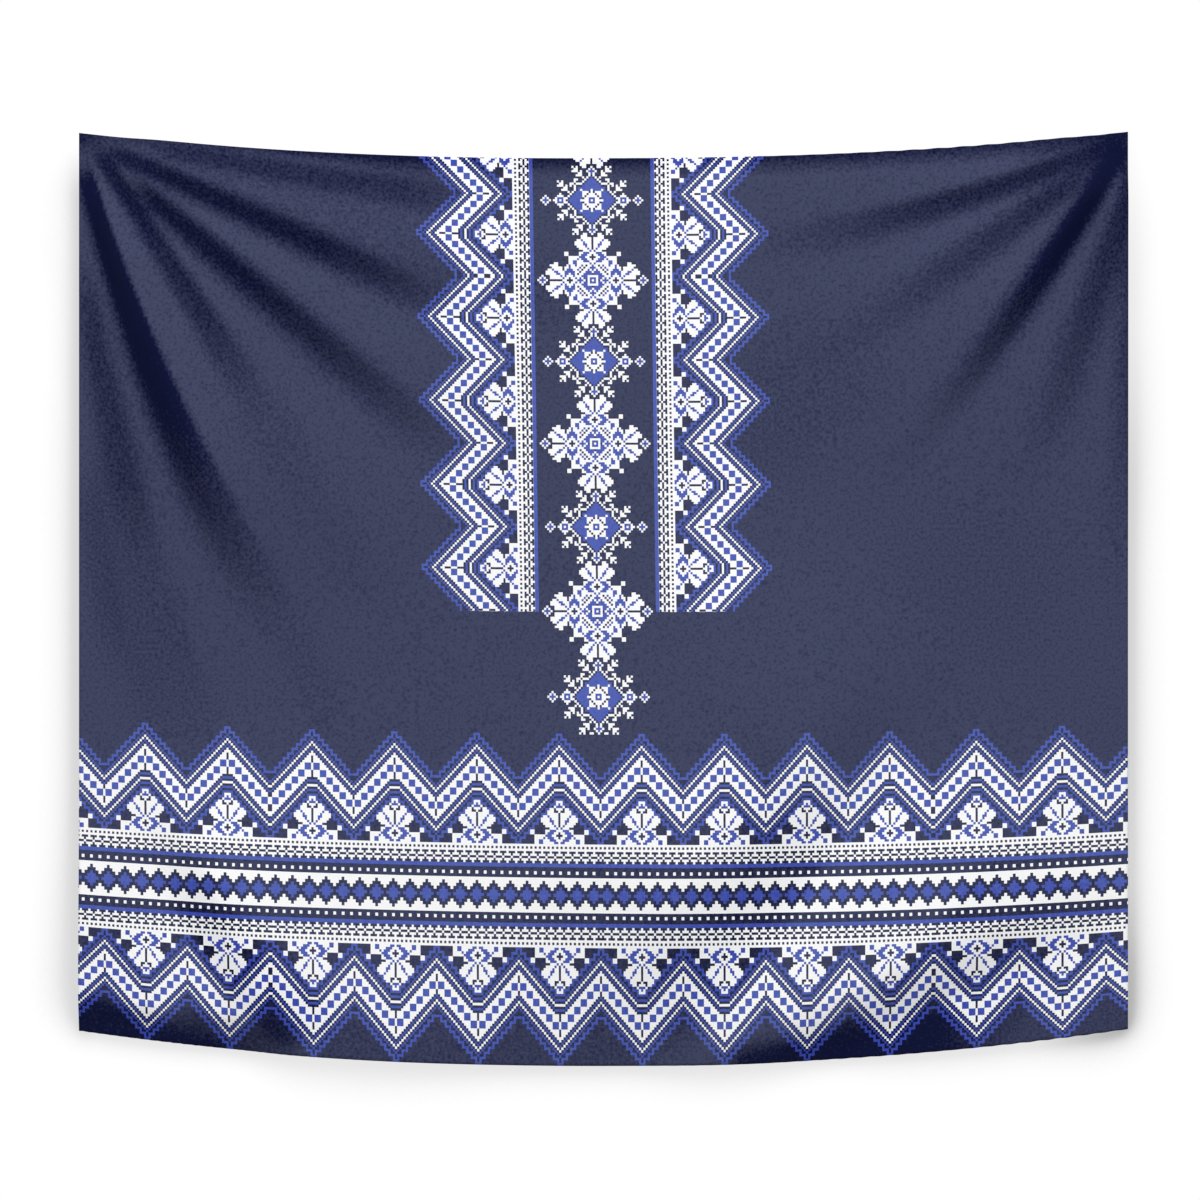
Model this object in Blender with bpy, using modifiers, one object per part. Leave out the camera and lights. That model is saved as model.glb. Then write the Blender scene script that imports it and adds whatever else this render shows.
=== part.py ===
"""Printed wall tapestry: one panel of thin polyester cloth, hung by its two top corners.

The cloth is an open grid, laid out flat between its sagging top edge and its hem, pushed
forward and back by a short table of folds, and then thickened. Metres, +Z up, the printed
face towards -Y. The origin is the middle of the top edge.
"""

import math
from collections import namedtuple

import bmesh
import bpy
import numpy as np

# The cut and hung sizes of the cloth
WIDTH = 1.524
DROP = 1.317
THICKNESS = 0.0015
TOP_SAG = 0.0395
TOP_SAG_POWER = 2.3
HEM_SAG = 0.0525
HEM_SAG_POWER = 2.1

# The grid: its lines are closer together towards the edges, where the folds are
COLUMNS = 50
ROWS = 46
CROWDING = 0.11

# The corners that are held stay flat
HELD_FLAT = 0.03
HELD_BLEND = 0.12

CLOTH_COLOUR = (0.051, 0.058, 0.117, 1.0)

# How fast a fold turns over at its sharp side: below 1, and the lower the sharper
TURN = 0.80
NARROWEST_FLANK = 0.045
MM = 0.001

# A fold's crest runs from start to end, as (x, z), and bows out from that line by bow in its
# middle, to the left of its way down. The crest stands height in front of the cloth, in full
# between the two fractions of its length. On one side it drops to the cloth within its
# flank, which widens from start to end, and on the other it eases away over its shoulder,
# which widens as its flank does. flank_side is the side that drops, seen from the front.
# sharp is the end of the drop where the cloth turns over the faster. Sizes in millimetres.
Fold = namedtuple(
    "Fold",
    "name start end bow height full_from full_to flank_start flank_end shoulder flank_side sharp",
)

FOLDS = (
    # the fan from the top left corner
    Fold("left_deep", (-748, 12), (-440, -700), -26, 50, 0.24, 0.58, 22, 80, 200, "left", "crest"),
    Fold("left_second", (-736, 30), (-420, -430), 6, 18, 0.12, 0.36, 20, 56, 120, "left", "crest"),
    Fold("left_third", (-742, 30), (-150, -442), 1, 29, 0.18, 0.66, 22, 74, 170, "left", "crest"),
    Fold("left_fourth", (-742, 33), (-170, -210), 4, 25, 0.20, 0.74, 22, 60, 130, "left", "crest"),
    Fold("left_upper", (-735, 36), (-180, -46), 0, 6, 0.20, 0.60, 20, 40, 80, "left", "crest"),
    Fold("left_side", (-752, -120), (-560, -770), -15, 17, 0.24, 0.50, 24, 80, 140, "left", "crest"),
    Fold("left_long", (-560, -250), (-240, -720), 4, 6, 0.40, 0.60, 40, 90, 150, "left", "crest"),
    # the fan from the top right corner
    Fold("right_deep", (754, 37), (340, -510), 17, 35, 0.12, 0.44, 26, 60, 160, "right", "crest"),
    Fold("right_second", (750, 37), (130, -105), 21, 16, 0.14, 0.36, 22, 62, 120, "right", "crest"),
    Fold("right_third", (742, 20), (220, -330), -2, 10, 0.18, 0.50, 22, 66, 120, "right", "crest"),
    Fold("right_fourth", (770, 10), (548, -560), 6, 18, 0.14, 0.55, 24, 70, 130, "right", "crest"),
    Fold("right_side", (762, 20), (742, -640), 0, 10, 0.20, 0.60, 22, 40, 80, "right", "crest"),
    # the slack cloth above the hem
    Fold("middle_sway", (450, -600), (-160, -1300), 30, 42, 0.36, 0.55, 140, 170, 280, "right", "valley"),
    Fold("right_sway", (800, -1000), (20, -1360), -10, 38, 0.52, 0.70, 90, 100, 220, "right", "valley"),
    Fold("left_sway", (-690, -820), (-370, -1500), 16, 28, 0.44, 0.80, 66, 90, 260, "left", "crest"),
    Fold("hem_curl", (-960, -1190), (-360, -1262), 0, 22, 0.15, 0.70, 58, 64, 200, "left", "crest"),
)


def smooth_step(low, high, value):
    """0 below low, 1 above high, and an even ease between them."""
    t = np.clip((value - low) / (high - low), 0.0, 1.0)
    return t * t * (3.0 - 2.0 * t)


def fold_height(fold, x, z):
    """How far one fold stands in front of the flat cloth, at each place."""
    start, end = MM * np.array(fold.start), MM * np.array(fold.end)
    length = np.hypot(*(end - start))
    run_x, run_z = (end - start) / length
    along = ((x - start[0]) * run_x + (z - start[1]) * run_z) / length
    leftward = (z - start[1]) * run_x - (x - start[0]) * run_z
    leftward = leftward - 4.0 * MM * fold.bow * np.clip(along * (1.0 - along), 0.0, None)
    shoulder_side = leftward if fold.flank_side == "left" else -leftward
    widening = np.clip(along, 0.0, 1.0)
    flank = MM * (fold.flank_start + (fold.flank_end - fold.flank_start) * widening)
    shoulder = flank * fold.shoulder / fold.flank_end
    down = np.clip(-shoulder_side / np.maximum(flank, NARROWEST_FLANK), 0.0, 1.0)
    down = down**TURN if fold.sharp == "crest" else 1.0 - (1.0 - down) ** TURN
    gentle = np.exp(-((np.clip(shoulder_side, 0.0, None) / shoulder) ** 2))
    fade = smooth_step(0.0, fold.full_from, along) * (1.0 - smooth_step(fold.full_to, 1.0, along))
    return MM * fold.height * fade * gentle * (1.0 - smooth_step(0.0, 1.0, down))


def hung_place(across, down):
    """Where a place of the flat cloth hangs, seen from the front: -1..1 across, 0..1 down."""
    top = TOP_SAG * np.abs(across) ** TOP_SAG_POWER
    hem = HEM_SAG * np.abs(across) ** HEM_SAG_POWER - DROP
    return 0.5 * WIDTH * across, top + (hem - top) * down


def forward(x, z):
    """How far the cloth stands forward of the plane through its two held corners."""
    height = sum(fold_height(fold, x, z) for fold in FOLDS)
    corner_distance = np.hypot(0.5 * WIDTH - np.abs(x), z - TOP_SAG)
    return height * smooth_step(HELD_FLAT, HELD_BLEND, corner_distance)


def make_cloth(collection):
    """The cloth: a grid moved on to its folds, and thickened behind its printed face."""
    bm = bmesh.new()
    bmesh.ops.create_grid(bm, x_segments=COLUMNS, y_segments=ROWS, size=1.0)
    flat = np.array([vertex.co for vertex in bm.verts])
    crowded = flat[:, :2] + CROWDING * np.sin(math.pi * flat[:, :2])
    x, z = hung_place(crowded[:, 0], 0.5 - 0.5 * crowded[:, 1])
    y = -forward(x, z)
    for vertex, place in zip(bm.verts, np.column_stack((x, y, z))):
        vertex.co = place
    mesh = bpy.data.meshes.new("cloth")
    bm.to_mesh(mesh)
    bm.free()
    mesh.shade_smooth()
    mesh.materials.append(cloth_material())
    cloth = bpy.data.objects.new("cloth", mesh)
    collection.objects.link(cloth)
    thickness = cloth.modifiers.new("thickness", "SOLIDIFY")
    thickness.thickness = THICKNESS
    thickness.offset = -1.0
    thickness.use_even_offset = True
    return cloth


def cloth_material():
    """Dyed polyester, navy, with a low sheen."""
    material = bpy.data.materials.new("printed_cloth")
    material.use_nodes = True
    shader = material.node_tree.nodes["Principled BSDF"]
    shader.inputs["Base Color"].default_value = CLOTH_COLOUR
    shader.inputs["Roughness"].default_value = 0.8
    shader.inputs["Metallic"].default_value = 0.0
    return material


def main():
    for thing in list(bpy.data.objects):
        bpy.data.objects.remove(thing)
    collection = bpy.data.collections.new("wall_tapestry")
    bpy.context.scene.collection.children.link(collection)
    make_cloth(collection)


main()
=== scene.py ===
# %% [markdown]
# # A printed wall tapestry
#
# A rectangle of thin polyester cloth hangs on a wall by its two top corners. Its print copies
# folk cross-stitch: three bands of zigzags, flowers and diamonds. This lesson hangs the
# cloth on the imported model, folds it, and draws the print stitch by stitch in a material.

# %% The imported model
import math
from collections import namedtuple

import bmesh
import bpy
import numpy as np
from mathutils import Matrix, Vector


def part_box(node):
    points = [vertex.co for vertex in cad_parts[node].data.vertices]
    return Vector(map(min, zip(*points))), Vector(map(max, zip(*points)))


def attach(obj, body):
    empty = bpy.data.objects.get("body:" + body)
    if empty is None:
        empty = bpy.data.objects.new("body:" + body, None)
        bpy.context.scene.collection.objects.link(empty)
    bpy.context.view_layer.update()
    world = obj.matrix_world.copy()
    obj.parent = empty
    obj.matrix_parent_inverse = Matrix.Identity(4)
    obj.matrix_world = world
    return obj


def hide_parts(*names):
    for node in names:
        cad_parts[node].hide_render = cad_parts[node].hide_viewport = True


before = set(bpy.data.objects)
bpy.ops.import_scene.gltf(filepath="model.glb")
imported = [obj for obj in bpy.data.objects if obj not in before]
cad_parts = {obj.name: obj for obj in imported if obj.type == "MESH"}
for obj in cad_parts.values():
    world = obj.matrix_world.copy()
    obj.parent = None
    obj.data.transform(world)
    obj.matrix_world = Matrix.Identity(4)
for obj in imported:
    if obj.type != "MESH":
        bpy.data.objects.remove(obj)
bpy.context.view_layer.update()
low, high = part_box("cloth")
corners = [[round(v, 4) for v in corner] for corner in (low, high)]
print(len(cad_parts), "node, the solid cloth, between the corners", *corners)

# %% [markdown]
# ## The size of the cloth
#
# The cloth is known in two ways: as the flat rectangle that was cut, and as the shape that it
# hangs in, where the top edge and the hem sag between the held corners. The width and the
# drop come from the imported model, so that this sheet always lies on its solid. The sags are
# curves of a power just above two, a little flatter in the middle than a parabola. Real
# edges are never quite even, so both also lean and ripple a little.

# %% The sizes of the cloth
HALF_WIDTH = 0.5 * (high.x - low.x)
DROP = -low.z
TOP_SAG = high.z
TOP_SAG_POWER = 2.3
HEM_SAG = 0.0525
HEM_SAG_POWER = 2.1
THICKNESS = 0.0008

# The top edge rises a little in its middle, and each edge leans up to the right
TOP_RISE = 0.0019
TOP_LEAN = 0.0009
TOP_LEAN_TURN = 1.9
HEM_LEAN = 0.0012

# A ripple has a height and a pitch. It grows from the middle to the right on both edges, and
# in the hem to the left too, from further out.
TOP_RIPPLE = (0.0005, 0.0365)
HEM_RIPPLE = (0.0005, 0.0272)
LEFT_HEM_RIPPLE = (0.0004, 0.0155)
RIPPLE_GROWTH = 1.4
LEFT_RIPPLE_DELAY = 0.4
CORNER_FADE = 20.0
UNEVEN_SHARE = 0.3
UNEVEN_PITCHES = 1.7


def ripple(height_and_pitch, share, x):
    """This share of a ripple, a wave that is higher in some places than in others."""
    height, pitch = height_and_pitch
    uneven = 1.0 - UNEVEN_SHARE + UNEVEN_SHARE * np.sin(x / (UNEVEN_PITCHES * pitch))
    return height * share * uneven * np.sin(2 * math.pi * x / pitch)


def top_edge(across):
    """The height of the top edge, at -1..1 across."""
    sag = (TOP_SAG - TOP_RISE) * np.abs(across) ** TOP_SAG_POWER
    share = np.clip(RIPPLE_GROWTH * across, 0.0, 1.0)
    share = share * np.clip(CORNER_FADE * (1.0 - across), 0.0, 1.0)
    wave = ripple(TOP_RIPPLE, share, HALF_WIDTH * across)
    return TOP_RISE + sag + TOP_LEAN * np.sin(TOP_LEAN_TURN * across) + wave


def hem_edge(across):
    """The height of the hem, at -1..1 across."""
    rise = HEM_SAG * np.abs(across) ** HEM_SAG_POWER + HEM_LEAN * across
    right = np.clip(RIPPLE_GROWTH * across, 0.0, 1.0)
    left = np.clip(-RIPPLE_GROWTH * across - LEFT_RIPPLE_DELAY, 0.0, 1.0)
    wave = ripple(HEM_RIPPLE, right, HALF_WIDTH * across)
    wave = wave + ripple(LEFT_HEM_RIPPLE, left, HALF_WIDTH * across)
    return rise - DROP + wave


def hung_place(across, down):
    """Where a place of the flat cloth hangs, from the front: -1..1 across, 0..1 down."""
    top = top_edge(across)
    return HALF_WIDTH * across, top + (hem_edge(across) - top) * down


# %% [markdown]
# ## The camera
#
# The hanging is seen square on and from far away, so that its sides stay parallel. A long
# lens does that. It could be an orthographic camera, but a perspective one keeps the small
# shift of the folds towards the viewer that a real lens shows.

# %% The camera
VIEW_WIDTH = 1.7434
VIEW_CENTRE = (-0.0051, -0.640)
VIEW_DISTANCE = 12.0
SENSOR = 36.0

camera_data = bpy.data.cameras.new("long_lens")
camera_data.sensor_width = SENSOR
camera_data.lens = SENSOR * VIEW_DISTANCE / VIEW_WIDTH
camera = bpy.data.objects.new("camera", camera_data)
camera.location = (VIEW_CENTRE[0], -VIEW_DISTANCE, VIEW_CENTRE[1])
camera.rotation_euler = (math.radians(90), 0, 0)
bpy.context.scene.collection.objects.link(camera)
bpy.context.scene.camera = camera
bpy.context.scene.view_settings.view_transform = "Standard"
print("lens", round(camera_data.lens), "mm")

# %% [markdown]
# ## Wires: shader maths as Python
#
# A material is a graph of nodes. Linking them one by one hides the sums that they stand for,
# so this small class wraps one output of a node, and Python's own operators add the Math
# nodes. Every other node comes from its node() method.

# %% A wire
def numbered(values):
    return dict(enumerate(values))


class Wire:
    """One output of a node. Sums on wires add Math nodes, and node() adds any other kind."""

    def __init__(self, tree, socket=None):
        self.tree = tree
        self.socket = socket

    def node(self, kind, settings=(), inputs=(), output=0):
        made = self.tree.nodes.new(kind)
        for name, setting in dict(settings).items():
            if name == "stops":
                lay_stops(made.color_ramp, setting)
            else:
                setattr(made, name, setting)
        for name, given in dict(inputs).items():
            if isinstance(given, Wire):
                self.tree.links.new(given.socket, made.inputs[name])
            else:
                made.inputs[name].default_value = given
        return Wire(self.tree, made.outputs[output])

    def output(self, which):
        return Wire(self.tree, self.socket.node.outputs[which])

    def math(self, operation, *terms):
        return self.node("ShaderNodeMath", {"operation": operation}, numbered(terms))

    def __add__(self, other):
        return self.math("ADD", self, other)

    def __sub__(self, other):
        return self.math("SUBTRACT", self, other)

    def __rsub__(self, other):
        return self.math("SUBTRACT", other, self)

    def __mul__(self, other):
        return self.math("MULTIPLY", self, other)

    def __truediv__(self, other):
        return self.math("DIVIDE", self, other)

    def __mod__(self, other):
        return self.math("FLOORED_MODULO", self, other)

    def __rpow__(self, other):
        return self.math("POWER", other, self)

    def __abs__(self):
        return self.math("ABSOLUTE", self)

    def __floor__(self):
        return self.math("FLOOR", self)

    def __gt__(self, other):
        return self.math("GREATER_THAN", self, other)

    def __lt__(self, other):
        return self.math("LESS_THAN", self, other)

    def equals(self, other):
        return self.math("COMPARE", self, other, 0.5)

    __radd__ = __add__
    __rmul__ = __mul__


def lay_stops(ramp, stops):
    """Gives a ramp its stops, each a place from 0 to 1 and a colour, held until the next."""
    ramp.interpolation = "CONSTANT"
    while len(ramp.elements) < len(stops):
        ramp.elements.new(1.0)
    for element, (place, _) in zip(ramp.elements, stops):
        element.position = place
    for element, (_, colour) in zip(ramp.elements, stops):
        element.color = colour


print("a wire does + - * / % ** > < abs and floor, and node() adds any other kind")


# %% Start and finish a material
def new_material(name):
    """A new material with only its output node, and a wire to start its graph from."""
    material = bpy.data.materials.new(name)
    material.use_nodes = True
    nodes = material.node_tree.nodes
    for node in list(nodes):
        if node.type != "OUTPUT_MATERIAL":
            nodes.remove(node)
    return material, Wire(material.node_tree)


def finish_material(material, shader):
    output = material.node_tree.nodes["Material Output"]
    material.node_tree.links.new(shader.socket, output.inputs["Surface"])


print("a material starts with its output node, and ends with a shader linked to it")

# %% [markdown]
# ## The studio
#
# Behind the cloth is a white wall. A wall lit by the lamps would show the hard shadow of every
# fold, but in a white light tent the light comes from all round, and only a soft halo is left
# close to the cloth. So this wall glows evenly, and an Ambient Occlusion node takes away the
# light near the cloth, beside it and below it but not above. It lets the view through from
# behind, so that the back of the cloth can be looked at too.

# %% A plane of the stage
STAGE_SIZE = 30.0


def stage_plane(name, location, turned):
    bm = bmesh.new()
    bmesh.ops.create_grid(bm, x_segments=1, y_segments=1, size=0.5 * STAGE_SIZE)
    mesh = bpy.data.meshes.new(name)
    bm.to_mesh(mesh)
    bm.free()
    plane = bpy.data.objects.new(name, mesh)
    plane.location = location
    plane.rotation_euler = turned
    plane.visible_diffuse = False
    bpy.context.scene.collection.objects.link(plane)
    return plane


print("each plane of the stage is", STAGE_SIZE, "m wide")

# %% How the halo deepens
HALO_REACH = 0.11
HALO_GAIN = 1.3
HALO_FULL = 0.33
HALO_SOFTNESS = 0.12
HALO_SAMPLES = 16

# Where the halo deepens, as the heights at which that begins and ends, and by how much
HALO_BELOW = (-0.90, -1.20, 0.68)
HALO_LEFT = (0.037, -0.060, 1.0)
HALO_RIGHT = ((0.120, -0.200, 0.55), (-0.200, -0.500, 0.52), (-1.020, -1.220, 0.60))
# Where each side takes over from the halo below, from the middle outwards
TO_THE_LEFT = (-0.735, -0.765, 1.0)
TO_THE_RIGHT = (0.600, 0.765, 1.0)


def ramp_over(value, begin, end, top):
    """0 before begin, top after end, and an even ease between them."""
    settings = {"interpolation_type": "SMOOTHSTEP"}
    return value.node("ShaderNodeMapRange", settings, numbered((value, begin, end, 0.0, top)))


print("the halo reaches", HALO_REACH, "m from the cloth")

# %% The glowing wall
WALL_GAP = 0.022
WALL_GLOW = 1.02

wall = stage_plane("wall", (0, WALL_GAP, 0), (math.radians(90), 0, 0))
wall_material, start = new_material("glowing_wall")
place = start.node("ShaderNodeTexCoord").output("Object")
place = start.node("ShaderNodeSeparateXYZ", inputs={0: place})
across, height = place, place.output(1)

below = ramp_over(height, *HALO_BELOW)
left = ramp_over(height, *HALO_LEFT)
right = ramp_over(height, *HALO_RIGHT[0])
for step in HALO_RIGHT[1:]:
    right = right + ramp_over(height, *step)
depth = below + ramp_over(across, *TO_THE_LEFT) * (left - below)
depth = depth + ramp_over(across, *TO_THE_RIGHT) * (right - below)
open_share = start.node(
    "ShaderNodeAmbientOcclusion",
    {"samples": HALO_SAMPLES},
    {"Distance": HALO_REACH},
    output="AO",
)
hidden = start.math("SMOOTH_MIN", (1 - open_share) * HALO_GAIN, HALO_FULL, HALO_SOFTNESS)
glow = WALL_GLOW * (1 - hidden * depth)
glow = start.node("ShaderNodeEmission", inputs={"Strength": glow})
behind = start.node("ShaderNodeNewGeometry").output("Backfacing")
open_air = start.node("ShaderNodeBsdfTransparent")
glow = start.node("ShaderNodeMixShader", inputs={0: behind, 1: glow, 2: open_air})
finish_material(wall_material, glow)
wall.data.materials.append(wall_material)
print("a wall", WALL_GAP, "m behind the cloth")

# %% The floor
FLOOR_DROP = 2.2
FLOOR_WHITE = (0.80, 0.80, 0.80, 1)

floor = stage_plane("floor", (0, 0, -FLOOR_DROP), (0, 0, 0))
floor_material, start = new_material("pale_floor")
matt_white = start.node("ShaderNodeBsdfDiffuse", inputs={"Color": FLOOR_WHITE})
finish_material(floor_material, matt_white)
floor.data.materials.append(floor_material)
print("a floor", FLOOR_DROP, "m below the middle of the top edge")

# %% [markdown]
# ## The lights
#
# Light from all round shows the print, and a wide sun, high in front, leaves every flank that
# looks down a little darker. A small lamp over the middle does the same for the flanks that
# look to the sides. A weaker sun behind the wall is there for views of the back.

# %% The lights
SUN_HEIGHT = 48
SUN_WIDTH = 20
SUN_STRENGTH = 1.52
SUN_DISTANCE = 4
LAMP_PLACE = (0, -1.6, 0.9)
LAMP_POWER = 7.4
LAMP_SIZE = 0.5
BACK_PLACE = (1, 4, 3)
BACK_WIDTH = 60
BACK_LIGHT = 1.2
AIR_LIGHT = 0.66
AIR_SEEN = 0.85


def add_light(name, kind, location, towards, **settings):
    data = bpy.data.lights.new(name, kind)
    for setting, value in settings.items():
        setattr(data, setting, value)
    light = bpy.data.objects.new(name, data)
    light.location = location
    direction = towards - light.location
    light.rotation_euler = direction.to_track_quat("-Z", "Y").to_euler()
    bpy.context.scene.collection.objects.link(light)
    return light


middle = 0.5 * (low + high)
sun_y = -SUN_DISTANCE * math.cos(math.radians(SUN_HEIGHT))
sun_z = SUN_DISTANCE * math.sin(math.radians(SUN_HEIGHT))
sun_place = (middle.x, middle.y + sun_y, middle.z + sun_z)
sun_width, back_width = math.radians(SUN_WIDTH), math.radians(BACK_WIDTH)
add_light("high_sun", "SUN", sun_place, middle, energy=SUN_STRENGTH, angle=sun_width)
add_light("middle_lamp", "AREA", LAMP_PLACE, middle, energy=LAMP_POWER, size=LAMP_SIZE)
add_light("back_sun", "SUN", BACK_PLACE, middle, energy=BACK_LIGHT, angle=back_width)

world = bpy.data.worlds.new("studio_air")
world.use_nodes = True
bpy.context.scene.world = world
background = world.node_tree.nodes["Background"]
background.inputs["Color"].default_value = (1, 1, 1, 1)
start = Wire(world.node_tree)
seen = start.node("ShaderNodeLightPath").output("Is Camera Ray")
strength = AIR_LIGHT + (AIR_SEEN - AIR_LIGHT) * seen
world.node_tree.links.new(strength.socket, background.inputs["Strength"])
print("three lights and the air")

# %% [markdown]
# ## The folds
#
# Cloth that hangs by its corners pulls into fans of folds below them, and goes slack above
# the hem. A cloth simulation would make folds like these, but in places of its own. Here
# each fold is one row of a table: a crest that drops steeply on one side, its flank, and
# eases away on the other, its shoulder. The sum of the rows pushes the flat cloth forward.

# %% The table of folds
MM = 0.001

# The crest runs from start to end, as (x, z), and bows out by bow to the left of its way
# down. It stands height in front of the cloth, in full between two fractions of its length.
# The flank is flank_start wide at the start and flank_end at the end, where the shoulder has
# its full width too. flank_side is the side that drops, and sharp the end of the drop where
# it turns faster. Sizes in millimetres.
Fold = namedtuple(
    "Fold",
    "name start end bow height full_from full_to flank_start flank_end shoulder flank_side sharp",
    defaults=("crest",),
)

FOLDS = (
    # the fan from the top left corner
    Fold("left_deep", (-748, 12), (-440, -700), -26, 50, 0.24, 0.58, 22, 80, 200, "left"),
    Fold("left_second", (-736, 30), (-420, -430), 6, 18, 0.12, 0.36, 20, 56, 120, "left"),
    Fold("left_third", (-742, 30), (-150, -442), 1, 29, 0.18, 0.66, 22, 74, 170, "left"),
    Fold("left_fourth", (-742, 33), (-170, -210), 4, 25, 0.20, 0.74, 22, 60, 130, "left"),
    Fold("left_upper", (-735, 36), (-180, -46), 0, 6, 0.20, 0.60, 20, 40, 80, "left"),
    Fold("left_side", (-752, -120), (-560, -770), -15, 17, 0.24, 0.50, 24, 80, 140, "left"),
    Fold("left_long", (-560, -250), (-240, -720), 4, 6, 0.40, 0.60, 40, 90, 150, "left"),
    # the fan from the top right corner
    Fold("right_deep", (754, 37), (340, -510), 17, 35, 0.12, 0.37, 26, 60, 160, "right"),
    Fold("right_second", (750, 37), (130, -105), 21, 16, 0.14, 0.36, 22, 62, 120, "right"),
    Fold("right_third", (742, 20), (220, -330), -2, 10, 0.18, 0.50, 22, 66, 120, "right"),
    Fold("right_fourth", (770, 10), (548, -560), 6, 18, 0.14, 0.55, 24, 70, 130, "right"),
    Fold("right_side", (762, 20), (742, -640), 0, 10, 0.20, 0.60, 22, 40, 80, "right"),
    # the slack cloth above the hem
    Fold(
        "middle_sway", (450, -600), (-160, -1300), 30, 42, 0.36, 0.55, 140, 170, 280,
        "right", "valley",
    ),
    Fold(
        "right_sway", (800, -1000), (20, -1360), -10, 38, 0.52, 0.70, 90, 100, 220,
        "right", "valley",
    ),
    Fold("left_sway", (-690, -820), (-370, -1500), 16, 28, 0.44, 0.80, 66, 90, 260, "left"),
    Fold("hem_curl", (-960, -1190), (-360, -1262), 0, 22, 0.15, 0.70, 58, 64, 200, "left"),
)
print(len(FOLDS), "folds")


# %% The form of a fold
# How fast a fold turns over at its sharp end: below 1, and the lower the faster
TURN = 0.85


def smooth_step(low_end, high_end, value):
    """0 below low_end, 1 above high_end, and an even ease between them."""
    t = np.clip((value - low_end) / (high_end - low_end), 0.0, 1.0)
    return t * t * (3.0 - 2.0 * t)


def line_places(line, x, z):
    """How far along a line each place lies, and how many flank widths out to its flank side."""
    begin, end = MM * np.array(line.start), MM * np.array(line.end)
    length = np.hypot(*(end - begin))
    run_x, run_z = (end - begin) / length
    along = ((x - begin[0]) * run_x + (z - begin[1]) * run_z) / length
    leftward = (z - begin[1]) * run_x - (x - begin[0]) * run_z
    leftward = leftward - 4.0 * MM * line.bow * np.clip(along * (1.0 - along), 0.0, None)
    outward = -leftward if line.flank_side == "left" else leftward
    widening = (line.flank_end - line.flank_start) * np.clip(along, 0.0, 1.0)
    return along, outward / (MM * (line.flank_start + widening))


def fold_height(fold, x, z):
    """How far one fold stands in front of the flat cloth, at each place."""
    along, outward = line_places(fold, x, z)
    drop = np.clip(outward, 0.0, 1.0)
    drop = drop**TURN if fold.sharp == "crest" else 1.0 - (1.0 - drop) ** TURN
    shoulder = np.clip(-outward, 0.0, None) * fold.flank_end / fold.shoulder
    fade = smooth_step(0.0, fold.full_from, along) * (1.0 - smooth_step(fold.full_to, 1.0, along))
    return MM * fold.height * fade * np.exp(-(shoulder**2)) * (1.0 - smooth_step(0.0, 1.0, drop))


print("the highest crest stands", max(fold.height for fold in FOLDS), "mm forward by itself")

# %% The held corners
# The cloth is flat this near to its two held corners, and has its folds in full this far off
HELD_FLAT = 0.03
HELD_BLEND = 0.12


def forward(x, z):
    """How far the cloth stands forward of the plane through its two held corners."""
    height = sum(fold_height(fold, x, z) for fold in FOLDS)
    corner_distance = np.hypot(HALF_WIDTH - np.abs(x), z - TOP_SAG)
    return height * smooth_step(HELD_FLAT, HELD_BLEND, corner_distance)


print("the corners are flat for", HELD_FLAT, "m")

# %% [markdown]
# ## The painted shade in the folds
#
# In the folds the dark dyes look nearly black, while the white stays bright. Light alone
# darkens both alike, so the sheet also carries painted shade, a value fold_shade that mixes
# each dye towards a darker copy of itself, the dark dyes most. It could be painted by hand as
# a vertex colour, but a table can be read and changed. Each row lays a band of painted shade
# along a fold, or along a crease too shallow to build.

# %% Creases without a height
# Their fields say what those of a fold say
Crease = namedtuple("Crease", "name start end bow flank_start flank_end flank_side")
CREASES = (
    Crease("left_core", (-752, 12), (-415, -700), -27, 22, 80, "left"),
    Crease("left_edge", (-736, -520), (-700, -720), 0, 18, 24, "left"),
    Crease("middle_dip", (385, -860), (70, -1335), 48, 130, 150, "left"),
    Crease("right_dip", (530, -1030), (170, -1320), 40, 90, 110, "right"),
    Crease("right_hem", (560, -1212), (170, -1292), 0, 30, 30, "right"),
    Crease("left_dip", (-680, -1010), (-492, -1290), -16, 80, 100, "right"),
    Crease("left_hem", (-800, -1190), (-540, -1284), 0, 25, 25, "left"),
    Crease("left_haze", (-790, -1212), (-420, -1282), 0, 25, 25, "left"),
)
print(len(CREASES), "creases")

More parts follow.
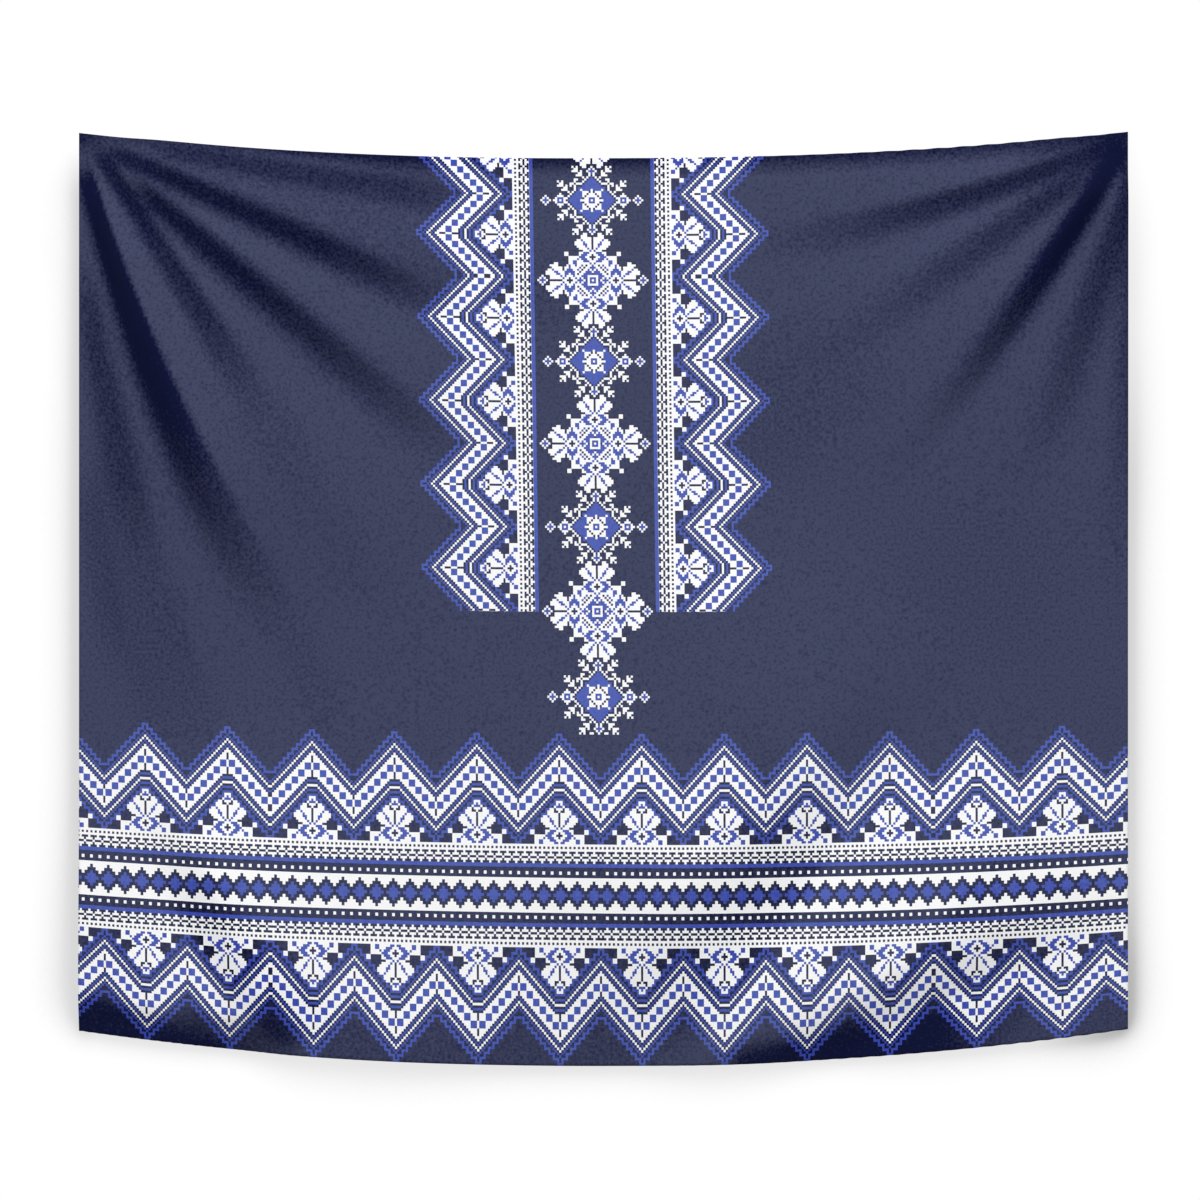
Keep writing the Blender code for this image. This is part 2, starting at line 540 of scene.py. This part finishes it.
# %% The bands of shade
# A band is as deep as depth says. along says where it begins, is full, starts to fade and
# ends, in lengths of its line, and across the same from the crest outwards, in widths of the
# flank.
Band = namedtuple("Band", "line depth along across")
BANDS = (
    Band("left_core", 1.00, (0.00, 0.06, 0.42, 0.98), (-0.16, 0.08, 0.68, 1.45)),
    Band("left_deep", 0.12, (0.50, 0.80, 1.05, 1.30), (-0.50, 0.00, 0.20, 0.80)),
    Band("left_second", 0.70, (0.00, 0.07, 0.48, 0.90), (-0.15, 0.42, 0.78, 1.45)),
    Band("left_second", 0.40, (0.00, 0.06, 0.20, 0.40), (-0.30, 0.20, 0.62, 1.10)),
    Band("left_second", 0.12, (0.50, 0.70, 0.90, 1.20), (-0.65, 0.30, 0.60, 2.00)),
    Band("left_third", 0.84, (0.09, 0.18, 0.30, 1.05), (-0.35, 0.35, 0.64, 1.45)),
    Band("left_fourth", 0.82, (0.00, 0.09, 0.50, 1.15), (-0.40, 0.34, 0.62, 1.45)),
    Band("left_fourth", 0.16, (0.15, 0.30, 1.10, 1.30), (-2.20, -1.00, -0.30, 0.20)),
    Band("left_upper", 0.56, (0.05, 0.22, 0.80, 1.06), (-0.30, 0.22, 0.60, 1.50)),
    Band("left_upper", 0.28, (0.00, 0.10, 1.00, 1.20), (-3.00, -2.50, -0.30, 0.40)),
    Band("left_side", 0.55, (-0.02, 0.16, 0.38, 0.75), (-0.50, 0.30, 0.60, 1.50)),
    Band("left_side", 0.20, (0.38, 0.52, 0.85, 1.25), (-0.10, 0.40, 1.20, 2.00)),
    Band("left_edge", 0.20, (-0.40, 0.00, 0.60, 1.30), (-1.00, 0.00, 1.00, 2.00)),
    Band("left_long", 0.05, (0.00, 0.30, 0.60, 1.00), (-0.60, 0.30, 0.60, 1.60)),
    Band("right_deep", 1.00, (0.00, 0.03, 0.23, 0.79), (-0.60, 0.10, 0.54, 1.30)),
    Band("right_second", 0.66, (0.00, 0.03, 0.30, 0.98), (-0.18, 0.42, 0.75, 1.45)),
    Band("right_second", 0.35, (0.00, 0.04, 0.12, 0.30), (-1.00, -0.30, 0.30, 0.80)),
    Band("right_third", 0.60, (0.00, 0.05, 0.15, 0.90), (-0.65, 0.20, 0.60, 1.50)),
    Band("right_third", 0.14, (0.60, 0.90, 1.02, 1.30), (-1.60, 0.00, 1.20, 2.90)),
    Band("right_fourth", 0.60, (0.00, 0.05, 0.22, 0.90), (-0.65, 0.20, 0.60, 1.50)),
    Band("right_fourth", 0.08, (0.80, 1.00, 1.10, 1.35), (-2.50, 0.00, 1.00, 3.00)),
    Band("right_side", 0.50, (0.00, 0.05, 0.30, 1.15), (-1.00, 0.30, 1.20, 2.00)),
    Band("middle_dip", 0.56, (0.08, 0.34, 0.58, 1.05), (-0.08, 0.16, 0.52, 1.55)),
    Band("middle_dip", 0.25, (0.30, 0.70, 1.20, 1.40), (-0.12, 0.40, 1.50, 2.70)),
    Band("right_dip", 0.50, (-0.30, 0.14, 1.00, 1.20), (-0.06, 0.30, 0.70, 1.75)),
    Band("right_dip", 0.32, (-0.45, -0.15, 0.20, 0.50), (0.60, 1.20, 1.85, 2.30)),
    Band("right_hem", 0.90, (-0.04, 0.24, 0.90, 1.04), (-0.60, 0.80, 4.00, 4.20)),
    Band("right_hem", 0.22, (-0.60, -0.45, 0.10, 0.30), (-4.00, -1.00, 4.00, 4.20)),
    Band("left_dip", 0.80, (-0.04, 0.45, 0.97, 1.16), (-0.04, 0.36, 0.75, 1.50)),
    Band("left_hem", 0.88, (-0.20, -0.10, 0.90, 1.22), (-0.80, 0.80, 6.00, 6.20)),
    Band("left_hem", 0.52, (0.55, 0.86, 1.12, 1.32), (-2.60, -0.80, 6.00, 6.20)),
    Band("left_haze", 0.32, (-0.20, -0.10, 0.20, 0.55), (-8.00, -4.00, 5.00, 5.20)),
    Band("left_haze", 0.26, (0.95, 1.03, 1.25, 1.62), (-4.50, -0.50, 4.00, 4.20)),
)
print(len(BANDS), "bands of shade")

# %% The shade at the top edge and the held corners
# Along the top edge, a strip of painted shade: how open the edge itself is, and how far the shade
# reaches
TopShade = namedtuple("TopShade", "x open reach")
TOP_SHADES = (
    TopShade(-0.590, 0.58, 0.045),
    TopShade(-0.520, 0.35, 0.009),
    TopShade(-0.415, 0.10, 0.014),
    TopShade(-0.310, 0.00, 0.025),
    TopShade(0.280, 0.12, 0.034),
    TopShade(0.600, 0.20, 0.034),
)

# Round the two held corners, painted shade: how deep it is, and how far it reaches
CornerShade = namedtuple("CornerShade", "x depth reach")
CORNER_SHADES = (CornerShade(-HALF_WIDTH, 0.74, 0.055), CornerShade(HALF_WIDTH, 0.70, 0.07))
print("the shade of the top edge is set at", len(TOP_SHADES), "places")


# %% The shade at each place
def band(value, rise, full, fall, end):
    """0 outside a band, 1 in its middle, and an even ease at both of its sides."""
    return smooth_step(rise, full, value) * (1.0 - smooth_step(fall, end, value))


def fold_shade(x, z):
    """How much painted shade each place gets, from 0 in the open to 1 in the deepest fold."""
    lines = {line.name: line for line in FOLDS + CREASES}
    open_share = np.ones_like(x)
    for row in BANDS:
        along, outward = line_places(lines[row.line], x, z)
        open_share *= 1.0 - row.depth * band(along, *row.along) * band(outward, *row.across)
    for corner in CORNER_SHADES:
        distance = np.hypot(x - corner.x, z - TOP_SAG)
        open_share *= 1.0 - corner.depth * (1.0 - smooth_step(0.0, corner.reach, distance))
    places, edge_open, reaches = zip(*TOP_SHADES)
    below_top = (top_edge(x / HALF_WIDTH) - z) / np.interp(x, places, reaches)
    open_share *= np.clip(np.interp(x, places, edge_open) + below_top, 0.0, 1.0)
    return 1.0 - open_share


print("bands, corners and the top edge make up the shade of a place")

# %% [markdown]
# ## Where the print lies
#
# The print was laid on the flat cloth, and it hangs and leans with it. Each place of the
# sheet gets its place in the print, counted in stitches, as two attributes. The border at
# the bottom counts its stitches across, and its rows from the middle of the band. The upper
# print counts from the centre line of its middle column. Rows near the hem sag more than
# rows in the middle, so the depth of a row comes from a short table. The folds also pull the
# border's left part a little to the right, and let its right end hang lower.

# %% The lines of the print
# depth is measured on the middle line, sag is how much higher the line is at the sides, and
# lean how much lower it is at the right side than in the middle.
PrintLine = namedtuple("PrintLine", "name depth sag lean")
PRINT_LINES = (
    PrintLine("top_edge", 0.0, 0.0392, 0.0),
    PrintLine("upper_tips", 0.8340, 0.0180, 0.0025),
    PrintLine("upper_lace", 1.0224, 0.0225, 0.0032),
    PrintLine("band_middle", 1.0689, 0.0237, 0.0032),
    PrintLine("lower_lace", 1.1150, 0.0250, 0.0032),
    PrintLine("lower_tips", 1.3162, 0.0530, -0.0007),
)
ROW_SAG_POWER = 2.2
DEPTH_ROUNDS = 12


def extended(value, known, meant):
    """Linear between the known points, and on along the last two beyond each end."""
    first = meant[0] + (value - known[0]) * (meant[1] - meant[0]) / (known[1] - known[0])
    last = meant[-1] + (value - known[-1]) * (meant[-1] - meant[-2]) / (known[-1] - known[-2])
    inner = np.interp(value, known, meant)
    return np.where(value < known[0], first, np.where(value > known[-1], last, inner))


def print_depth(x, z):
    """The depth, on the middle line, of the row that passes through each place."""
    depths = [line.depth for line in PRINT_LINES]
    across = x / HALF_WIDTH
    depth = -z
    for _ in range(DEPTH_ROUNDS):
        sag = extended(depth, depths, [line.sag for line in PRINT_LINES])
        lean = np.interp(depth, depths, [line.lean for line in PRINT_LINES])
        depth = -z + sag * np.abs(across) ** ROW_SAG_POWER - lean * across
    return depth


print(len(PRINT_LINES), "lines of the print, the lowest", PRINT_LINES[-1].depth, "m down")

# %% The stitches of the border
# The border's rows at the last five of the print's lines, and its stitches across, which grow
# wider past STRETCH_FROM. Most of the left part's shift to the right is lost between two places
# across, and the right end hangs lower past two such pairs, one across and one down.
BORDER_ROWS = (-67.1, -13.1, 0.0, 13.1, 67.1)
BORDER_STITCH = 0.0031526
FIRST_PEAK_X = -0.6671
STRETCH_FROM = 305
STRETCH = 2.09e-4
LEFT_SHIFT = 0.0010
LEFT_SHIFT_GROWTH = 0.0075
LEFT_SHIFT_FADES = (-0.55, 0.25)
LEFT_SHIFT_LOST = 0.8
RIGHT_CORNER_DROP = 0.0055
RIGHT_CORNER_ACROSS = (0.50, 0.68)
RIGHT_CORNER_DOWN = (1.10, 1.20)


def border_stitches(x, z):
    """Stitches across from the first peak, and rows down from the middle of the band."""
    depth = print_depth(x, z)
    shift = LEFT_SHIFT + LEFT_SHIFT_GROWTH * (depth - PRINT_LINES[1].depth)
    shift = shift * (1.0 - LEFT_SHIFT_LOST * smooth_step(*LEFT_SHIFT_FADES, x))
    across = (x - shift - FIRST_PEAK_X) / BORDER_STITCH
    across = across - STRETCH * np.clip(across - STRETCH_FROM, 0.0, None) ** 2
    drop = RIGHT_CORNER_DROP * smooth_step(*RIGHT_CORNER_ACROSS, x)
    drop = drop * smooth_step(*RIGHT_CORNER_DOWN, depth)
    depths = [line.depth for line in PRINT_LINES[1:]]
    return across, extended(depth - drop, depths, BORDER_ROWS)


print("a stitch of the border is", round(BORDER_STITCH / MM, 2), "mm wide")

# %% The stitches of the column and the panels
# The column's centre line leans to the right on its way down. Its stitches are a little wider
# near the top edge, and its rows grow taller from the first cross on.
COLUMN_STITCH = 0.003032
COLUMN_X = -0.0154
COLUMN_LEAN = 0.0136
TOP_SPREAD = 0.0075
TOP_SPREAD_ENDS = 0.40
FIRST_CROSS_DEPTH = 0.17565
COLUMN_ROW = 0.0030799
COLUMN_ROW_GROWTH = 5.52e-7

# The panels' peaks, and their stitches counted from the first peak
PANEL_PEAK_DEPTHS = (0.1101, 0.2313, 0.3525, 0.4737, 0.5949)
PANEL_PEAK_STITCHES = (0, 39, 77, 115, 153)


def upper_stitches(x, z):
    """Stitches across from the column's centre line, its rows, and the panels' rows."""
    depth = print_depth(x, z)
    centre = COLUMN_X + COLUMN_LEAN * (depth - FIRST_CROSS_DEPTH)
    slope_term = COLUMN_ROW**2 + 4 * COLUMN_ROW_GROWTH * (depth - FIRST_CROSS_DEPTH)
    row = (np.sqrt(slope_term) - COLUMN_ROW) / (2 * COLUMN_ROW_GROWTH)
    panel_row = extended(depth, PANEL_PEAK_DEPTHS, PANEL_PEAK_STITCHES)
    spread = TOP_SPREAD * np.clip(1.0 - depth / TOP_SPREAD_ENDS, 0.0, 1.0)
    return (x - centre) / (COLUMN_STITCH * (1.0 + spread)), row, panel_row


print("a stitch of the column is", round(COLUMN_STITCH / MM, 2), "mm wide")

# %% [markdown]
# ## The sheet
#
# The sheet starts as a fine grid with its lines closer together near the edges, where the
# folds are small. Its points move to their hung places and on to the folds. A Solidify
# modifier gives it its thickness behind the printed face, with a second material on the
# back. The print's places and the shade are plain values on the points.

# %% Hang the sheet
COLUMNS = 232
ROWS = 200
CROWDING = 0.08


def hang_sheet():
    bm = bmesh.new()
    bmesh.ops.create_grid(bm, x_segments=COLUMNS, y_segments=ROWS, size=1.0)
    flat = np.array([vertex.co for vertex in bm.verts])
    crowded = flat[:, :2] + CROWDING * np.sin(math.pi * flat[:, :2])
    x, z = hung_place(crowded[:, 0], 0.5 - 0.5 * crowded[:, 1])
    y = -forward(x, z)
    for vertex, place in zip(bm.verts, np.column_stack((x, y, z))):
        vertex.co = place
    mesh = bpy.data.meshes.new("tapestry_sheet")
    bm.to_mesh(mesh)
    bm.free()
    mesh.shade_smooth()
    write_attribute(mesh, "border_stitches", (*border_stitches(x, z), 0 * x))
    write_attribute(mesh, "upper_stitches", upper_stitches(x, z))
    write_attribute(mesh, "fold_shade", (fold_shade(x, z), 0 * x, 0 * x))
    sheet = bpy.data.objects.new("tapestry_sheet", mesh)
    bpy.context.scene.collection.objects.link(sheet)
    return sheet


def write_attribute(mesh, name, values):
    attribute = mesh.attributes.new(name, "FLOAT_VECTOR", "POINT")
    attribute.data.foreach_set("vector", np.column_stack(values).astype(np.float32).ravel())


sheet = hang_sheet()
body = sheet.modifiers.new("thickness", "SOLIDIFY")
body.thickness = THICKNESS
body.offset = -1.0
body.material_offset = 1
body.material_offset_rim = 1
print(len(sheet.data.vertices), "points and", len(sheet.data.polygons), "faces in one layer")

# %% [markdown]
# ## The charts of the print
#
# Cross-stitch patterns are drawn as charts, one letter for each stitch: D dark, B blue,
# W white, and a dot for the bare ground. Each chart below is one small part that the print
# mirrors and repeats. The zigzag half runs from its peak to its valley, and a rule along
# the diagonal draws most of it, so only its flower needs rows of its own.

# %% The zigzag and its flower
BARE, DARK, BLUE, WHITE = ".DBW"
HALF_REPEAT = 19
ZIGZAG_ROWS = 46
FLOWER_FROM = 28
SLOPE_EVEN = ".BDDBDWDBD" + 9 * WHITE + "DBDWDBDBBB"
SLOPE_ODD = "BBBDBDWDBD" + 9 * WHITE + "DBDWDBDDBD"
PEAK_AXIS = "WWDDDWWWDDD"
PEAK_AXIS_FROM = 9
VALLEY_AXIS = "DDDBDWDBDDWWWDDDWWD"
VALLEY_AXIS_FROM = 19
INNER_PEAK = "WDBDWDBDB"
INNER_PEAK_FROM = 19
INNER_PEAK_HALF = 2
SQUARES = 6
SQUARE_SIZE = 3
SQUARES_FROM = 14
FLOWER = """
WWBDD
BWBBBD
BBWDBDD
WWDWWBBD
WDDWWWBDD
DWWWWWBBB
DWWWWBWWBD
DWWWBWWWWB
DWWBBWWWWD
DWWBWWWWDDB
DWBWWWWDDDDD
WBWWWDDDDDDD
WWBBBWWDDDDDWW
DWWBBBWDDDDDWW
DDWWBBBWWWWWDDDD
DWWBBBWBWWWWDDDD
WWBBBWWWBBWWDDDDDD
WBBWWWWWBBWWDDDDDD
""".split()
print("the flower has", len(FLOWER), "rows, and half of the zigzag", ZIGZAG_ROWS)


# %% Draw half of the zigzag
def zigzag_letter(row, column):
    """The letter of one stitch, with rows down from the tip and columns from the peak."""
    down = row - column
    if row >= FLOWER_FROM and column < len(FLOWER[row - FLOWER_FROM]):
        return FLOWER[row - FLOWER_FROM][column]
    if column == 0 and 0 <= row - PEAK_AXIS_FROM < len(PEAK_AXIS):
        return PEAK_AXIS[row - PEAK_AXIS_FROM]
    if column <= INNER_PEAK_HALF and row >= INNER_PEAK_FROM:
        return INNER_PEAK[row - INNER_PEAK_FROM]
    if column == HALF_REPEAT and 0 <= row - VALLEY_AXIS_FROM < len(VALLEY_AXIS):
        return VALLEY_AXIS[row - VALLEY_AXIS_FROM]
    square = (row - SQUARES_FROM) // SQUARE_SIZE
    if 0 <= square < SQUARES and square == (column - 1) // SQUARE_SIZE:
        return BLUE
    slope = SLOPE_ODD if column % 2 else SLOPE_EVEN
    return slope[down + 1] if -1 <= down < len(slope) - 1 else BARE


ZIGZAG = [
    "".join(zigzag_letter(row, column) for column in range(HALF_REPEAT + 1))
    for row in range(ZIGZAG_ROWS)
]
print("\n".join(ZIGZAG))

# %% The lace and the middle band
# The lace follows the zigzag towards the band, and the band's rows run from its middle out
LACE = ("WWWW", "WDWD", "WWWW", "DDWD", "DWWW", "WDDD", "DWWW", "DDWD")
BAND = ("BBBD", "BBDD", "BDDW", "DDWW", "DWWW", "WWWW", "DDDD", "WDDW", "DDDD", "DDDD")
print("the lace has", len(LACE), "rows, and each half of the band", len(BAND))

# %% The middle column, from the heart of a cross to the heart of a star
COLUMN = """
WBWDWBBBWWDDDWWDDDDDD.WBBBW
BBWBBWBWBWWDWWBWWWWWWD.WBW.
WWWBBBWWWBWWWBWBWWWWWD.DWD.
DBBBBWWDWBBWBBWWBBWWWWWD...
WBBBWWDWWBBBBBWWWBBWWWWD...
BWBWWDWBWWBBBWDWWWWBWWD....
BBWWDWBWWWWBWWDWWWWWD......
BWWDWBWWBWWBWD..DWWWWD.....
WBWWWWWWBBWWD...DWWD.......
WWBBBWWWBBWWD....DD........
DWWBBBWBWWWWD..............
DDWWBBBWWWWWD..............
DWWBBBWDDDDDWW.............
WWBBBWW....DWWD............
WBWWWDD....................
DWBWWWWD...................
DWWBWWWWD..................
DWWBBWWWWD.................
DWWWBWWWWD.................
DWWWWBWWD..................
DWWWWWD....................
DDDWWWD....................
W..WWD.WDW.................
BWD....WWD.................
BBW.DWDWWW.................
BW..DWWD...................
DWD.DWWW...................
BDWDWD.....................
BBDWD..WW..................
BBBDW.DDW.....WDW..........
BBBBDWWWDWW...WWD..........
BBBBBDDDWDW.WDWWWD.........
BBBBBBBDWD..WWD............
WBBBBWBDW..DWWWD...........
WDWWWBBBDWDWDDD............
WWDWWBBBBDWD..DWD..........
WWWDWBBBBBDWD.WWWD...DWD...
BBWWDBBBBBBDWWBBBWD.DWBWD..
WBWWWWBBBBBBDWBWBWW.WBBBW..
""".split()
print("the column's chart has", len(COLUMN), "rows of", len(COLUMN[0]), "stitches")

# %% [markdown]
# ## A chart inside a material
#
# A material can't look into a table, but a colour ramp with constant stops is one: a stop
# for each column, and a number in each of its three channels. Ten rows of a column fit in
# one channel as the digits of a number to the base four. So the material finds the stop by
# its column and the channel by its tens of rows, and divides until the digit is left.

# %% Look up a stitch
LETTERS = BARE + DARK + BLUE + WHITE
ROWS_PER_CHANNEL = 10
CHANNELS = 3
BASE = len(LETTERS)


def packed_rows(chart, first, column):
    """Ten rows of a column, from the first one down, as one number."""
    rows = chart[first : first + ROWS_PER_CHANNEL]
    digits = [LETTERS.index(row[column]) for row in rows]
    return float(sum(digit * BASE**place for place, digit in enumerate(digits)))


def look_up(chart, column, row):
    """The number of the letter at a column and row of a chart, and 0 above and below it."""
    columns = len(chart[0])
    place = (column + 0.5) / columns
    tens = math.floor(row / ROWS_PER_CHANNEL)
    packed = 0.0
    for first in range(0, len(chart), CHANNELS * ROWS_PER_CHANNEL):
        starts = [first + ROWS_PER_CHANNEL * channel for channel in range(CHANNELS)]
        stops = [
            (c / columns, (*(packed_rows(chart, begin, c) for begin in starts), 1.0))
            for c in range(columns)
        ]
        ramp = column.node("ShaderNodeValToRGB", {"stops": stops}, {"Fac": place})
        channels = column.node("ShaderNodeSeparateColor", inputs={0: ramp})
        for channel, begin in enumerate(starts):
            if begin < len(chart):
                chosen = tens.equals(begin // ROWS_PER_CHANNEL)
                packed = channels.output(channel) * chosen + packed
    digit = row - tens * ROWS_PER_CHANNEL
    return math.floor((packed + 0.5) / BASE**digit) % BASE


def folded(value, half):
    """Runs 0..half..0 over and over, so that one half of a repeat serves for both."""
    return abs((value + half) % (2 * half) - half)


print("a stop of a ramp holds", CHANNELS * ROWS_PER_CHANNEL, "rows of one column")

# %% [markdown]
# ## The whole print
#
# The border and the two upright panels share one zigzag, so their places are chosen first
# and looked up once. The border is mirrored above and below its band. A panel is the same
# border turned upright, with its peaks outwards. Where the print was joined, a valley is two
# stitches wide instead of one, so the stitches after it count one less. At the seam in the
# middle of the border the lace and the diamonds turn round, as in a mirror: they skip a bit.

# %% The places in the print
# The border: its rows from the middle of the band, and its stitches across from the first
# peak. The stitches of the diamonds are bigger than the rest.
TIP_ROW = 66.6
BAND_TO = 11.51
BAND_LINE_TO = 13.1
BIG_STITCH_ROW = 1.309
BIG_STITCH = 1.2885
DIAMOND_AT = 5.9
DIAMOND_HALF = 3
WIDE_BORDER_VALLEYS = (57.5, 362.5)
SEAM = 210.0
LACE_SKIPS = 2
DIAMOND_SKIPS = 1.25
UPPER_ABOVE_ROW = -75

# The panels, in stitches from the column's centre line and down from their first peak
PANEL_EDGE = 0.2545 / COLUMN_STITCH
PANEL_ROW = 0.00304 / COLUMN_STITCH
PANEL_LINE = (0.0850 / COLUMN_STITCH, 0.0905 / COLUMN_STITCH)
PANEL_ENDS = 172.6
WIDE_PANEL_VALLEY = 19.5

# The column, in stitches from its centre line and rows down from its first cross
COLUMN_HALF = 26.5
COLUMN_ENDS = 206.5
CROSS_TO_STAR = 38
print("the panels end at stitch", PANEL_ENDS, "and the column at row", COLUMN_ENDS)

# %% Put the print together
def nearest(value):
    return math.floor(value + 0.5)


def between(value, low_end, high_end):
    return (value > low_end) * (value < high_end)


def read_attribute(start, name):
    """The first of an attribute's three values, whose outputs 1 and 2 are the others."""
    values = start.node("ShaderNodeAttribute", {"attribute_name": name}).output("Vector")
    return start.node("ShaderNodeSeparateXYZ", inputs={0: values})


def stitch_code(start):
    """The number of the letter that the print has at this place."""
    border = read_attribute(start, "border_stitches")
    upper = read_attribute(start, "upper_stitches")
    stitch, band_row = border, border.output(1)
    sideways, column_row, panel_stitch = abs(upper), upper.output(1), upper.output(2)
    is_upper = band_row < UPPER_ABOVE_ROW
    past_seam = (stitch > SEAM) * (1 - is_upper)
    from_band = abs(band_row)

    border_stitch = nearest(stitch)
    for valley in WIDE_BORDER_VALLEYS:
        border_stitch = border_stitch - (stitch > valley)
    border_row = nearest(TIP_ROW - from_band)
    panel_index = nearest(panel_stitch)
    panel_index = panel_index - (panel_stitch > WIDE_PANEL_VALLEY)
    panel_row = math.floor((PANEL_EDGE - sideways) / PANEL_ROW)
    in_panel = panel_stitch < PANEL_ENDS

    index = border_stitch + is_upper * (panel_index - border_stitch)
    row = border_row + is_upper * (panel_row - border_row)
    zigzag = look_up(ZIGZAG, folded(index, HALF_REPEAT), row)
    lace_index = index + past_seam * LACE_SKIPS
    lace = look_up(LACE, lace_index % len(LACE[0]), row - ZIGZAG_ROWS)
    panels = (zigzag + lace) * (1 - is_upper * (1 - in_panel))

    big_stitch = (stitch - DIAMOND_AT) / BIG_STITCH + past_seam * DIAMOND_SKIPS
    big_stitch = folded(nearest(big_stitch), DIAMOND_HALF)
    big_row = nearest(from_band / BIG_STITCH_ROW)
    diamonds = look_up(BAND, big_stitch, big_row) * (from_band < BAND_TO)
    band_line = between(from_band, BAND_TO, BAND_LINE_TO)
    panel_line = between(sideways, *PANEL_LINE) * is_upper * in_panel
    lines = (band_line + panel_line) * LETTERS.index(BLUE)

    column_fold = folded(nearest(column_row), CROSS_TO_STAR)
    in_column = (sideways < COLUMN_HALF) * (column_row < COLUMN_ENDS)
    column = look_up(COLUMN, nearest(sideways), column_fold) * in_column
    return panels + diamonds + lines + column


print("the zigzag, the lace, the diamonds, the lines and the column make up the print")

# %% [markdown]
# ## The dyed cloth
#
# The four dyes lie on a plain weave of polyester, which scatters the light and shines
# little. Each dye has a darker, shaded copy too, which paints the shade in the folds, and a
# fine noise breaks the step from one to the other into specks, as uneven thread does. Two
# crossed waves for the threads and the same noise give the cloth its grain. The back is the
# bare cloth, with the print faintly showing through.

# %% The dyes
DYES = {
    BARE: (0.0508, 0.0580, 0.1132),
    DARK: (0.0465, 0.0530, 0.1070),
    BLUE: (0.0837, 0.1190, 0.4115),
    WHITE: (0.885, 0.885, 0.89),
}
# Darker copies of the dyes, which paint the shade in the folds
SHADED_DYES = {
    BARE: (0.0040, 0.0060, 0.0330),
    DARK: (0.0040, 0.0060, 0.0330),
    BLUE: (0.0360, 0.0580, 0.3600),
    WHITE: (0.82, 0.825, 0.84),
}
UNDYED = (0.70, 0.71, 0.74)
SHOW_THROUGH = 0.22

# Even the open cloth gets a little painted shade, and the specks are strongest there
OPEN_SHADE = 0.07
SHADE_GAIN = 1.05
OPEN_SPECKS = 2.0
DEEP_SPECKS = 1.10

GRAIN = {"Scale": 230, "Detail": 3.0, "Roughness": 0.6}
THREAD_PITCH = 0.0011
THREAD_SHARE = 0.25
BUMP = {"Strength": 0.5, "Distance": 0.0004}
FINISH = {"Roughness": 0.85, "Specular IOR Level": 0.04}
print(len(DYES), "dyes, and a deep form of each")


# %% The cloth material
def dye_ramp(start, place, dyes):
    stops = [(n / BASE, (*dyes[letter], 1.0)) for n, letter in enumerate(LETTERS)]
    return start.node("ShaderNodeValToRGB", {"stops": stops}, {"Fac": place})


def mix_colour(start, share, first, second):
    """A Mix node's colour sockets are its seventh and eighth, and its colour output the third."""
    sockets = {0: share, 6: first, 7: second}
    return start.node("ShaderNodeMix", {"data_type": "RGBA"}, sockets, output=2)


def cloth_material(name, showing):
    """Polyester that shows this share of its print over the undyed thread."""
    material, start = new_material(name)
    place = start.node("ShaderNodeTexCoord").output("Object")
    grain = start.node("ShaderNodeTexNoise", inputs={"Vector": place, **GRAIN})
    # The painted shade of the folds mixes each dye towards its darker copy
    shade = read_attribute(start, "fold_shade")
    specks = OPEN_SPECKS + (DEEP_SPECKS - OPEN_SPECKS) * shade * shade
    shade = OPEN_SHADE + shade * SHADE_GAIN + (grain - 0.5) * specks
    dye = (stitch_code(start) + 0.5) / BASE
    open_dye, shaded_dye = dye_ramp(start, dye, DYES), dye_ramp(start, dye, SHADED_DYES)
    colour = mix_colour(start, shade, open_dye, shaded_dye)
    if showing < 1:
        colour = mix_colour(start, showing, (*UNDYED, 1.0), colour)
    split = start.node("ShaderNodeSeparateXYZ", inputs={0: place})
    across = start.math("SINE", split * (2 * math.pi / THREAD_PITCH))
    down = start.math("SINE", split.output(2) * (2 * math.pi / THREAD_PITCH))
    threads = across * down * THREAD_SHARE + grain
    bump = start.node("ShaderNodeBump", inputs={"Height": threads, **BUMP})
    sockets = {"Base Color": colour, "Normal": bump, **FINISH}
    finish_material(material, start.node("ShaderNodeBsdfPrincipled", inputs=sockets))
    return material


sheet.data.materials.append(cloth_material("printed_face", 1.0))
sheet.data.materials.append(cloth_material("pale_back", SHOW_THROUGH))
print(len(sheet.data.materials[0].node_tree.nodes), "nodes in the printed face")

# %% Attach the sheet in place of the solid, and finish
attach(sheet, "root")
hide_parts("cloth")
print("the sheet takes the place of the solid cloth")
